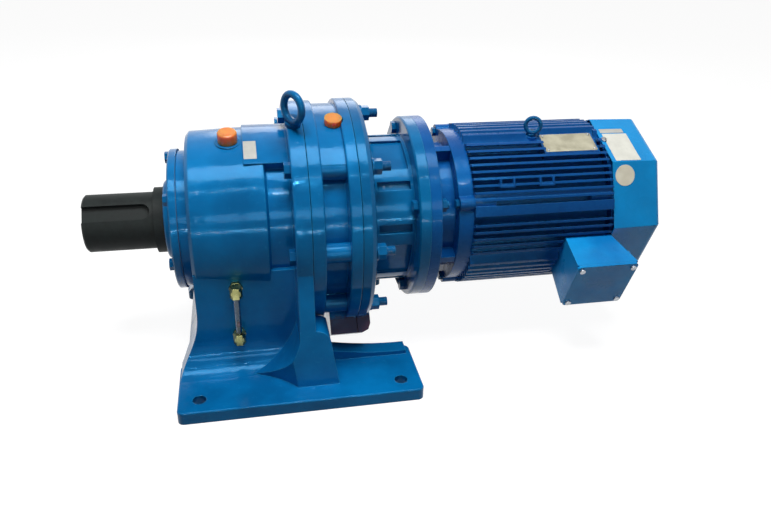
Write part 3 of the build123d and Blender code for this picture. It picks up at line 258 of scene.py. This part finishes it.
def redden_below(material, top_mm):
    """Mixes a red-brown into an enamel below a height."""
    shader = next(n for n in material.node_tree.nodes if n.type == "BSDF_PRINCIPLED")
    place = add_node(material, "ShaderNodeTexCoord").outputs["Object"]
    height = add_node(material, "ShaderNodeSeparateXYZ", Vector=place).outputs["Z"]
    border_noise = add_node(material, "ShaderNodeTexNoise", Vector=place, Scale=1 / (BORDER_NOISE_MM * MM), Detail=5.0)
    wander = add_node(material, "ShaderNodeMapRange", Value=border_noise.outputs["Fac"],
                      To_Min=-WANDER_MM * MM, To_Max=WANDER_MM * MM)
    lifted = add_node(material, "ShaderNodeMath", {"operation": "ADD"}, i0=height,
                      i1=wander.outputs["Result"])
    share = add_node(material, "ShaderNodeMapRange", Value=lifted.outputs["Value"],
                     From_Min=(top_mm + BLEND_MM) * MM, From_Max=(top_mm - BLEND_MM) * MM)
    paint = shader.inputs["Base Color"].links[0].from_socket
    mixed = add_node(material, "ShaderNodeMix", {"data_type": "RGBA"}, Factor=share.outputs["Result"],
                     i6=paint, i7=colour("#6e3d4a"))
    connect(material, mixed.outputs[2], shader.inputs["Base Color"])


adaptor_enamel = sprayed_enamel("adaptor_enamel", "#0672ae", "#04568c", "#34a2d8")
for material in (ring_enamel, adaptor_enamel):
    redden_below(material, RED_BROWN_TOP_MM)
print("primed castings:", ring_enamel.name, adaptor_enamel.name)

# %% [markdown]
# ## Turned and ground steel
#
# The output shaft is turned on a lathe and sent out under a dark preserving oil. The cutting tool
# leaves fine rings round the axis, so the pattern is a wave along X only. Ground bearing steel is
# the same idea with finer rings and no oil. A metal has no diffuse colour: its base colour tints
# the reflection, and the default IOR is kept. The oil on the shaft hides the metal, so the shaft is
# drawn as a dark film with little shine. The plate's satin skin is drawn as part metal.

# %% Turned and ground steel
def turned_metal(name, light, dark, pitch_mm, rough, metallic=1.0, depth_mm=0.05, shine=0.5):
    """Metal with fine rings round the X axis and smears of oil or handling."""
    material, shader, place = new_material(name)
    rings = add_node(material, "ShaderNodeTexWave", {"wave_type": "BANDS", "bands_direction": "X"},
                     Vector=place, Scale=1 / (pitch_mm * MM * WAVES_PER_METRE), Distortion=0.6,
                     Detail=2.0)
    smear = add_node(material, "ShaderNodeTexNoise", Vector=place, Scale=1 / (22 * MM), Detail=5.0,
                     Roughness=0.6)
    smear_part = add_node(material, "ShaderNodeMapRange", Value=smear.outputs["Fac"],
                          From_Min=0.35, From_Max=0.7)
    base = add_node(material, "ShaderNodeMix", {"data_type": "RGBA"},
                    Factor=smear_part.outputs["Result"], i6=colour(dark), i7=colour(light))
    connect(material, base.outputs[2], shader.inputs["Base Color"])
    shader.inputs["Metallic"].default_value = metallic
    shader.inputs["Specular IOR Level"].default_value = shine
    dull = add_node(material, "ShaderNodeMapRange", Value=smear.outputs["Fac"], From_Min=0.3,
                    From_Max=0.75, To_Min=rough - 0.08, To_Max=rough + 0.14)
    connect(material, dull.outputs["Result"], shader.inputs["Roughness"])
    rounded = add_node(material, "ShaderNodeBevel", {"samples": 4}, Radius=0.7 * MM)
    bump = add_node(material, "ShaderNodeBump", Height=rings.outputs["Fac"], Strength=0.3,
                    Distance=depth_mm * MM, Normal=rounded.outputs["Normal"])
    connect(material, bump.outputs["Normal"], shader.inputs["Normal"])
    return material


shaft_steel = turned_metal("oiled_turned_steel", "#262d2c", "#181d1d", 1.2, 0.5, metallic=0.0,
                           shine=0.12)
ground_steel = turned_metal("ground_bearing_steel", "#c9ccd0", "#a6a9ae", 0.6, 0.2)
gear_steel = turned_metal("hardened_disc_steel", "#9da1a6", "#7b7f85", 0.8, 0.3)
zinc_steel = turned_metal("zinc_plated_steel", "#b9bcc0", "#8d9196", 0.7, 0.33)
lamination_steel = turned_metal("stacked_lamination_steel", "#6a6d72", "#43464b", 0.9, 0.5, depth_mm=0.2)
brass = turned_metal("machined_brass", "#bfbe84", "#7c7c50", 0.7, 0.26)
plate_aluminium = turned_metal("blank_aluminium_plate", "#bcb8a2", "#a29e88", 0.5, 0.42, metallic=0.6)
print("metals:", [m.name for m in (shaft_steel, ground_steel, gear_steel, zinc_steel, brass)])

# %% [markdown]
# ## Rubber, plastic, paper, film, copper and glass
#
# The small pieces are moulded or cut from plain stock. Moulded plastic has a fine even grain and a
# soft sheen, seal rubber is darker and duller, and gasket paper is fibrous. The winding is copper
# wire under an amber varnish. Label film is matt and nearly flat. The orange plugs are translucent, so
# light wanders a little below their surface. The gauge tube is clear glass and needs transmission, and
# the gear oil behind it is dark with use.

# %% Moulded and cut stock
def moulded_stock(name, light, dark, grain_mm, rough, bump=0.15, coat=0.0, soft_mm=0.0):
    """Plastic, rubber, paper or film: patchy colour, patchy sheen and one fine grain."""
    material, shader, place = new_material(name)
    patches = add_node(material, "ShaderNodeTexNoise", Vector=place, Scale=1 / (18 * MM), Detail=3.0)
    patch_part = add_node(material, "ShaderNodeMapRange", Value=patches.outputs["Fac"],
                          From_Min=0.35, From_Max=0.7)
    base = add_node(material, "ShaderNodeMix", {"data_type": "RGBA"},
                    Factor=patch_part.outputs["Result"], i6=colour(dark), i7=colour(light))
    connect(material, base.outputs[2], shader.inputs["Base Color"])
    sheen = add_node(material, "ShaderNodeMapRange", Value=patches.outputs["Fac"], From_Min=0.3,
                     From_Max=0.75, To_Min=rough - 0.05, To_Max=rough + 0.08)
    connect(material, sheen.outputs["Result"], shader.inputs["Roughness"])
    shader.inputs["IOR"].default_value = 1.5
    shader.inputs["Coat Weight"].default_value = coat
    if soft_mm:
        shader.inputs["Subsurface Weight"].default_value = 1.0
        shader.inputs["Subsurface Scale"].default_value = soft_mm * MM
        shader.inputs["Subsurface Radius"].default_value = (1.0, 0.45, 0.2)
    rounded = add_node(material, "ShaderNodeBevel", {"samples": 4}, Radius=0.8 * MM)
    grain = add_node(material, "ShaderNodeTexNoise", Vector=place, Scale=1 / (grain_mm * MM), Detail=2.0)
    skin = add_node(material, "ShaderNodeBump", Height=grain.outputs["Fac"], Strength=bump,
                    Distance=0.1 * MM, Normal=rounded.outputs["Normal"])
    connect(material, skin.outputs["Normal"], shader.inputs["Normal"])
    return material


orange_plastic = moulded_stock("moulded_orange_plug", "#ff9426", "#fa821c", 1.2, 0.32, coat=0.2,
                               soft_mm=20)
seal_rubber = moulded_stock("nitrile_seal_rubber", "#22262a", "#15181b", 1.0, 0.6)
gasket_paper = moulded_stock("overpainted_gasket_paper", "#08588f", "#064370", 2.0, 0.55, bump=0.5)
winding_varnish = moulded_stock("varnished_winding", "#9c4f1e", "#6d3212", 1.8, 0.35, bump=0.9, coat=0.4)
black_plastic = moulded_stock("moulded_black_plastic", "#26282b", "#191b1e", 1.2, 0.45)
label_film = moulded_stock("blank_white_label_film", "#e4e4da", "#d6d6cc", 3.0, 0.42)
grey_film = moulded_stock("blank_grey_label_film", "#c4c4be", "#b4b4ae", 3.0, 0.42)
aged_film = moulded_stock("blank_round_sticker_film", "#ebe6d2", "#dcd6c0", 3.0, 0.45)
gauge_oil = moulded_stock("dark_gear_oil", "#3c4450", "#2c323c", 4.0, 0.12, bump=0.0, coat=0.3)
red_float = moulded_stock("red_gauge_float", "#8c2346", "#74193a", 2.0, 0.35)

gauge_glass, glass_shader, glass_place = new_material("clear_gauge_glass")
glass_shader.inputs["Base Color"].default_value = colour("#a3bac4")
glass_shader.inputs["Transmission Weight"].default_value = 1.0
glass_shader.inputs["IOR"].default_value = 1.5
fingerprints = add_node(gauge_glass, "ShaderNodeTexNoise", Vector=glass_place, Scale=1 / (9 * MM))
glass_haze = add_node(gauge_glass, "ShaderNodeMapRange", Value=fingerprints.outputs["Fac"],
                      From_Min=0.4, From_Max=0.7, To_Min=0.03, To_Max=0.12)
connect(gauge_glass, glass_haze.outputs["Result"], glass_shader.inputs["Roughness"])
print("stock materials:", [m.name for m in (orange_plastic, seal_rubber, gasket_paper, label_film)])

# %% [markdown]
# ## Giving every CAD piece its finish
#
# The finishes follow how a works paints such a unit: it is sprayed once it is assembled, so the bolt
# heads, nuts and eye bolt carry the same enamel as the castings, and only the shaft, the brass gauge,
# the plugs and the plate are masked or fitted later.

# %% Finishes by piece
finishes = {
    gear_enamel: ["base_housing", "output_cover"],
    adaptor_enamel: ["motor_adaptor"],
    ring_enamel: ["pin_gear_ring"],
    motor_enamel: ["motor_frame"],
    shield_enamel: ["motor_front_shield", "motor_rear_shield"],
    cover_enamel: ["fan_cover"],
    box_enamel: ["terminal_box", "terminal_box_lid"],
    bolt_enamel: ["through_bolts", "through_studs", "through_nuts", "through_washers", "cover_bolts",
                  "motor_flange_bolts", "motor_flange_nuts", "eye_bolt", "motor_eye_bolt",
                  "shield_screws", "drain_plug"],
    shaft_steel: ["output_shaft"],
    ground_steel: ["ring_pins", "ring_sleeves", "drive_pins", "drive_rollers", "cam_rollers"],
    gear_steel: ["cycloid_disc_a", "cycloid_disc_b", "input_shaft", "motor_shaft"],
    zinc_steel: ["lid_screws", "fan_cover_screws"],
    lamination_steel: ["stator_core", "rotor_core"],
    brass: ["gauge_fittings"],
    plate_aluminium: ["nameplate"],
    orange_plastic: ["breather_plug", "filler_plug"],
    seal_rubber: ["output_oil_seal", "input_oil_seal"],
    gasket_paper: ["cover_gasket", "ring_gaskets"],
    winding_varnish: ["stator_windings"],
    black_plastic: ["fan", "cable_gland"],
    gauge_glass: ["gauge_tube"],
}
finishes[ground_steel] += [name for name in nodes if "bearing" in name]


def give_finish(piece, material):
    piece.data.materials.clear()
    piece.data.materials.append(material)


for material, names in finishes.items():
    for name in names:
        give_finish(nodes[name], material)
bare = [name for name in nodes if name not in sum(finishes.values(), [])]
print("pieces with a finish:", len(nodes) - len(bare), "left bare:", bare)

# %% [markdown]
# ## Places on the machine
#
# Most small pieces sit on surfaces round the machine's axis. A direction round the axis is one angle,
# measured from the top towards the camera side, so a place is a station along X, that angle and a
# height above the axis. Blender needs it as a rotation too: local Z points out of the surface, local X
# runs along the axis, and local Y points up round the machine.

# %% Places on the machine
def outward(theta):
    return Vector((0.0, -sin(radians(theta)), cos(radians(theta))))


def spot(station_mm, theta, height_mm, round_mm=0.0):
    """A place at a station and a height above the axis, moved round_mm down round the machine."""
    axis_point = Vector((station_mm * MM, 0.0, AXIS_HEIGHT))
    down = Vector((0.0, -cos(radians(theta)), -sin(radians(theta))))
    return axis_point + outward(theta) * height_mm * MM + down * round_mm * MM


def select_faces(piece, wanted):
    """In edit mode, selects the faces that a test picks and nothing else."""
    bpy.ops.mesh.select_all(action="DESELECT")
    mesh = bmesh.from_edit_mesh(piece.data)
    for face in mesh.faces:
        if wanted(face):
            face.select_set(True)
    bmesh.update_edit_mesh(piece.data)


def stand(piece, place, theta):
    """Puts a piece made at the origin on its place and settles that in its mesh."""
    piece.location = place
    piece.rotation_euler = (radians(theta), 0.0, 0.0)
    bpy.ops.object.transform_apply(location=True, rotation=True, scale=True)


def finish_piece(piece, name, material):
    """Names a piece, gives it its finish and lets it ride on the housing."""
    piece.name = name
    piece.data.name = name
    give_finish(piece, material)
    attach(piece, "housing")


def copy_of(piece):
    """A copy of a piece, with a mesh of its own, selected alone."""
    bpy.ops.object.select_all(action="DESELECT")
    piece.select_set(True)
    bpy.context.view_layer.objects.active = piece
    bpy.ops.object.duplicate(linked=False)
    return bpy.context.object


plate_low, plate_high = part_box("nameplate")
print("plate spans X, mm:", round(plate_low.x / MM, 1), "to", round(plate_high.x / MM, 1))

# %% [markdown]
# ## Bare labels
#
# Paper and film labels are glued over the paint and follow what is under them. Each starts as a flat
# plane, its corners are rounded by bevelling the vertices, and bisect cuts it into strips so that it
# can bend. Shrinkwrap then projects it onto the casting, and Solidify gives the film its thickness.
# They stay blank. One sits beside the breather, one on the fan cover's upper flat with a paler strip
# of film above it, and a round one on the flat below.

# %% Bare labels
FILM_MM = 0.25
FILM_GAP_MM = 0.08       # the glue below it
DROP_MM = 6              # height from which a label is laid down
STRIPS = 12              # each way, so that a label can bend
FLAT_THETA = 22.5        # the upper flat of the motor and its cover, as an angle from the top
SIDE_THETA = 67.5        # the flat below it


def film_label(name, place, theta, width_mm, length_mm, corner_mm, under, material):
    """A blank label of width_mm along the axis and length_mm round it, laid on the node under."""
    bpy.ops.object.select_all(action="DESELECT")
    bpy.ops.mesh.primitive_plane_add(size=1.0)
    label = bpy.context.object
    bpy.ops.object.mode_set(mode="EDIT")
    bpy.ops.transform.resize(value=(width_mm * MM, length_mm * MM, 1.0))
    bpy.ops.mesh.bevel(offset=corner_mm * MM, segments=6, affect="VERTICES")
    for direction, reach in (((1, 0, 0), width_mm), ((0, 1, 0), length_mm)):
        for strip in range(1 - STRIPS // 2, STRIPS // 2):
            bpy.ops.mesh.select_all(action="SELECT")
            cut = Vector(direction) * (reach * MM * strip / STRIPS)
            bpy.ops.mesh.bisect(plane_co=cut, plane_no=direction)
    bpy.ops.object.mode_set(mode="OBJECT")
    label.location = place + outward(theta) * DROP_MM * MM
    label.rotation_euler = (radians(theta), 0.0, 0.0)
    wrap = label.modifiers.new("lie on the paint", "SHRINKWRAP")
    wrap.target = nodes[under]
    wrap.wrap_method = "PROJECT"
    wrap.use_project_z = True
    wrap.use_negative_direction = True
    wrap.use_positive_direction = False
    wrap.offset = FILM_GAP_MM * MM
    film = label.modifiers.new("film", "SOLIDIFY")
    film.thickness = FILM_MM * MM
    film.offset = 1.0
    for modifier in ("lie on the paint", "film"):
        bpy.ops.object.modifier_apply(modifier=modifier)
    bpy.ops.object.transform_apply(location=True, rotation=True, scale=True)
    finish_piece(label, name, material)
    return label


labels = [
    film_label("barrel_label", spot(-54.5, 25, 145), 25, 19, 38, 0.8, "base_housing", grey_film),
    film_label("cover_panel", spot(543, FLAT_THETA, 128, 18), FLAT_THETA, 44, 66, 1.5, "fan_cover",
               label_film),
    film_label("cover_strip", spot(541, FLAT_THETA, 128, -22), FLAT_THETA, 42, 10, 1.0, "fan_cover",
               grey_film),
    film_label("cover_round_sticker", spot(535, SIDE_THETA, 128, -31), SIDE_THETA, 34, 34, 16.9,
               "fan_cover", aged_film),
]
print("labels:", {label.name: len(label.data.polygons) for label in labels})

# %% [markdown]
# ## Plate rivets
#
# The plate is held by four round-head rivets. A head is the upper part of a sphere, a little
# flattened: bisect takes the lower half away and closes it. One is modelled and copied to the corners.

# %% Plate rivets
def rivet_head(radius_mm):
    bpy.ops.object.select_all(action="DESELECT")
    bpy.ops.mesh.primitive_uv_sphere_add(segments=20, ring_count=10, radius=radius_mm * MM)
    head = bpy.context.object
    bpy.ops.object.mode_set(mode="EDIT")
    bpy.ops.mesh.bisect(plane_co=(0, 0, 0), plane_no=(0, 0, 1), use_fill=True, clear_inner=True)
    bpy.ops.mesh.select_all(action="SELECT")
    bpy.ops.transform.resize(value=(1.0, 1.0, 0.6))
    bpy.ops.object.mode_set(mode="OBJECT")
    bpy.ops.object.shade_smooth_by_angle(angle=radians(40))
    return head


PLATE_TOP_MM = 127.0
RIVET_MM = 2.2
RIVET_ALONG_MM, RIVET_ACROSS_MM = 40, 17
plate_middle = (plate_low.x + plate_high.x) / 2 / MM
first_rivet = rivet_head(RIVET_MM)
rivet_places = [(along, across) for along in (-RIVET_ALONG_MM, RIVET_ALONG_MM)
                for across in (-RIVET_ACROSS_MM, RIVET_ACROSS_MM)]
for number, (along, across) in enumerate(rivet_places, start=1):
    rivet = copy_of(first_rivet)
    stand(rivet, spot(plate_middle + along, FLAT_THETA, PLATE_TOP_MM + 0.05, across), FLAT_THETA)
    finish_piece(rivet, f"plate_rivet_{number}", zinc_steel)
bpy.data.objects.remove(first_rivet)

# %% [markdown]
# ## Cast clips between the fins
#
# Two small U-shaped clips are cast across the tips of two fins of the motor. Each starts as a bar.
# Bisect marks its two ends, and the faces there that look up are extruded into the arms. A small bevel
# gives them the round edges of a casting, and they carry the motor's paint.

# %% Cast clips between the fins
CLIP_WIDTH_MM, CLIP_REACH_MM, CLIP_WIRE_MM, CLIP_HEIGHT_MM = 25.0, 12.0, 3.2, 5.0
CLIP_STATIONS_MM = (334.0, 399.0)
CLIP_AROUND_MM, CLIP_ABOVE_MM = -22.5, 133.0


def cast_clip():
    bpy.ops.object.select_all(action="DESELECT")
    bpy.ops.mesh.primitive_cube_add(size=1.0)
    clip = bpy.context.object
    bpy.ops.object.mode_set(mode="EDIT")
    bpy.ops.transform.resize(value=(CLIP_WIDTH_MM * MM, CLIP_WIRE_MM * MM, CLIP_HEIGHT_MM * MM))
    inner = (CLIP_WIDTH_MM / 2 - CLIP_WIRE_MM) * MM
    for side in (-inner, inner):
        bpy.ops.mesh.select_all(action="SELECT")
        bpy.ops.mesh.bisect(plane_co=(side, 0, 0), plane_no=(1, 0, 0))
    select_faces(clip, lambda face: face.normal.y > 0.9 and abs(face.calc_center_median().x) > inner)
    bpy.ops.mesh.extrude_region_move(TRANSFORM_OT_translate={"value": (0, CLIP_REACH_MM * MM, 0)})
    bpy.ops.mesh.select_all(action="SELECT")
    bpy.ops.mesh.normals_make_consistent(inside=False)
    bpy.ops.object.mode_set(mode="OBJECT")
    rounding = clip.modifiers.new("cast edges", "BEVEL")
    rounding.width = 0.6 * MM
    rounding.segments = 2
    bpy.ops.object.modifier_apply(modifier="cast edges")
    bpy.ops.object.shade_smooth_by_angle(angle=radians(40))
    return clip


first_clip = cast_clip()
for number, station in enumerate(CLIP_STATIONS_MM, start=1):
    clip = copy_of(first_clip)
    stand(clip, spot(station, SIDE_THETA, CLIP_ABOVE_MM, CLIP_AROUND_MM), SIDE_THETA)
    finish_piece(clip, f"motor_cast_clip_{number}", motor_enamel)
bpy.data.objects.remove(first_clip)

# %% [markdown]
# ## Oil in the level gauge
#
# The glass tube shows the oil level. The oil is a column a little thinner than the bore, and its top
# is a shallow dish where the liquid climbs the glass, made by an inset and a push downwards. A small
# red float sits on it and marks the level.

# %% Oil in the level gauge
OIL_PART = 0.24          # of the tube's height
OIL_RADIUS_MM = 3.2
FLOAT_MM = 9.0
FLOAT_RADIUS_MM = 2.6
tube_low, tube_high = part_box("gauge_tube")
tube_middle = (tube_low + tube_high) / 2
oil_height = (tube_high.z - tube_low.z) * OIL_PART
bpy.ops.object.select_all(action="DESELECT")
bpy.ops.mesh.primitive_cylinder_add(vertices=32, radius=OIL_RADIUS_MM * MM, depth=oil_height,
                                    location=(tube_middle.x, tube_middle.y, tube_low.z + oil_height / 2))
oil = bpy.context.object
bpy.ops.object.mode_set(mode="EDIT")
select_faces(oil, lambda face: face.normal.z > 0.9)
bpy.ops.mesh.inset(thickness=0.8 * MM)
bpy.ops.transform.translate(value=(0, 0, -0.7 * MM))
bpy.ops.mesh.inset(thickness=0.9 * MM)
bpy.ops.transform.translate(value=(0, 0, -0.3 * MM))
bpy.ops.object.mode_set(mode="OBJECT")
bpy.ops.object.transform_apply(location=True, rotation=True, scale=True)
bpy.ops.object.shade_smooth_by_angle(angle=radians(35))
finish_piece(oil, "gauge_oil_column", gauge_oil)

bpy.ops.object.select_all(action="DESELECT")
float_foot = tube_low.z + oil_height + 0.2 * MM
float_middle = float_foot + FLOAT_MM / 2 * MM
bpy.ops.mesh.primitive_cylinder_add(vertices=24, radius=FLOAT_RADIUS_MM * MM, depth=FLOAT_MM * MM,
                                    location=(tube_middle.x, tube_middle.y, float_middle))
gauge_float = bpy.context.object
rounding = gauge_float.modifiers.new("round ends", "BEVEL")
rounding.width = 1.6 * MM
rounding.segments = 3
bpy.ops.object.modifier_apply(modifier="round ends")
bpy.ops.object.transform_apply(location=True, rotation=True, scale=True)
bpy.ops.object.shade_smooth_by_angle(angle=radians(40))
finish_piece(gauge_float, "gauge_float", red_float)
print("oil column, mm:", round(oil_height / MM, 1), "float, mm:", FLOAT_MM)

# %% [markdown]
# ## Floor, backdrop and light
#
# A product of this kind is shown on white. The floor is a plain pale plane. Light Path tells what
# looks at it: to the camera, in reflections and through glass, a little glow is added to the lit
# paint, which brings it to white and keeps the shadow. The world is white to the same rays. As a
# light both are much dimmer, so the white never floods the object.
#
# One wide lamp hangs over the machine, as the roof lights of a workshop do, and weak ones fill in
# from the left and from behind. The gleams are lamps that only reflections see: two long narrow ones
# draw the bright lines that glossy enamel shows along its edges, a panel in front draws the soft
# bands on the round castings, and three small ones make the sparks on rounded corners.

# %% Floor and light
def seen_directly(material):
    """1 for rays from the camera, reflections and glass, 0 for light that bounces."""
    rays = add_node(material, "ShaderNodeLightPath").outputs
    eye = add_node(material, "ShaderNodeMath", {"operation": "MAXIMUM"}, i0=rays["Is Camera Ray"],
                   i1=rays["Is Glossy Ray"])
    return add_node(material, "ShaderNodeMath", {"operation": "MAXIMUM"}, i0=eye.outputs["Value"],
                    i1=rays["Is Transmission Ray"]).outputs["Value"]


FLOOR_GLOW = 0.93
WORLD_LIGHT = 0.09       # strength of the white world as a light
MACHINE = (0.1, 0, 0.2)  # what the lamps point at

bpy.ops.object.select_all(action="DESELECT")
bpy.ops.mesh.primitive_plane_add(size=30.0, location=(0, 0, -0.0005))
floor = bpy.context.object
floor.name = "floor"
bpy.ops.object.transform_apply(location=True, rotation=True, scale=True)
floor_paint, floor_shader, _ = new_material("pale_floor")
floor_shader.inputs["Roughness"].default_value = 0.9
floor_shader.inputs["Specular IOR Level"].default_value = 0.0
floor_shader.inputs["Base Color"].default_value = colour("#828282")
floor_shader.inputs["Emission Color"].default_value = (1, 1, 1, 1)
glow_part = add_node(floor_paint, "ShaderNodeMath", {"operation": "MULTIPLY"},
                     i0=seen_directly(floor_paint), i1=FLOOR_GLOW)
connect(floor_paint, glow_part.outputs["Value"], floor_shader.inputs["Emission Strength"])
floor.data.materials.append(floor_paint)

world = bpy.data.worlds.new("studio")
bpy.context.scene.world = world
world.use_nodes = True
world.node_tree.nodes.clear()
strength = add_node(world, "ShaderNodeMapRange", Value=seen_directly(world), To_Min=WORLD_LIGHT,
                    To_Max=1.0)
sky = add_node(world, "ShaderNodeBackground", Color=(1, 1, 1, 1), Strength=strength.outputs["Result"])
add_node(world, "ShaderNodeOutputWorld", Surface=sky.outputs["Background"])


def area_lamp(name, place, power, width, depth):
    """A rectangular lamp that points at the machine: place and sides in metres, power in watts."""
    lamp = bpy.data.objects.new(name, bpy.data.lights.new(name, "AREA"))
    bpy.context.collection.objects.link(lamp)
    lamp.data.shape = "RECTANGLE"
    lamp.data.size = width
    lamp.data.size_y = depth
    lamp.data.energy = power
    lamp.location = place
    lamp.rotation_euler = (Vector(MACHINE) - Vector(place)).to_track_quat("-Z", "Y").to_euler()
    return lamp


lamps = [
    area_lamp("roof_light", (0.1, -0.45, 2.25), 46, 1.5, 0.7),
    area_lamp("left_fill", (-1.8, -1.6, 1.3), 0.8, 0.9, 0.9),
    area_lamp("rear_fill", (0.4, 2.3, 1.3), 8, 1.4, 0.9),
]
gleams = [
    area_lamp("roof_strip", (0.15, -1.25, 2.0), 6, 1.6, 0.02),
    area_lamp("front_strip", (0.1, -2.6, 0.4), 12, 1.6, 0.06),
    area_lamp("front_panel", (0.3, -2.4, 1.15), 14, 1.6, 0.4),
]
spot_places = [(-0.7, -1.3, 1.9), (0.1, -1.5, 2.0), (0.9, -1.3, 1.9)]
gleams += [area_lamp(f"roof_spot_{number}", place, 4.0, 0.025, 0.025)
           for number, place in enumerate(spot_places, start=1)]
for gleam in gleams:
    gleam.visible_diffuse = False
print("lamps:", {lamp.name: lamp.data.energy for lamp in lamps + gleams})
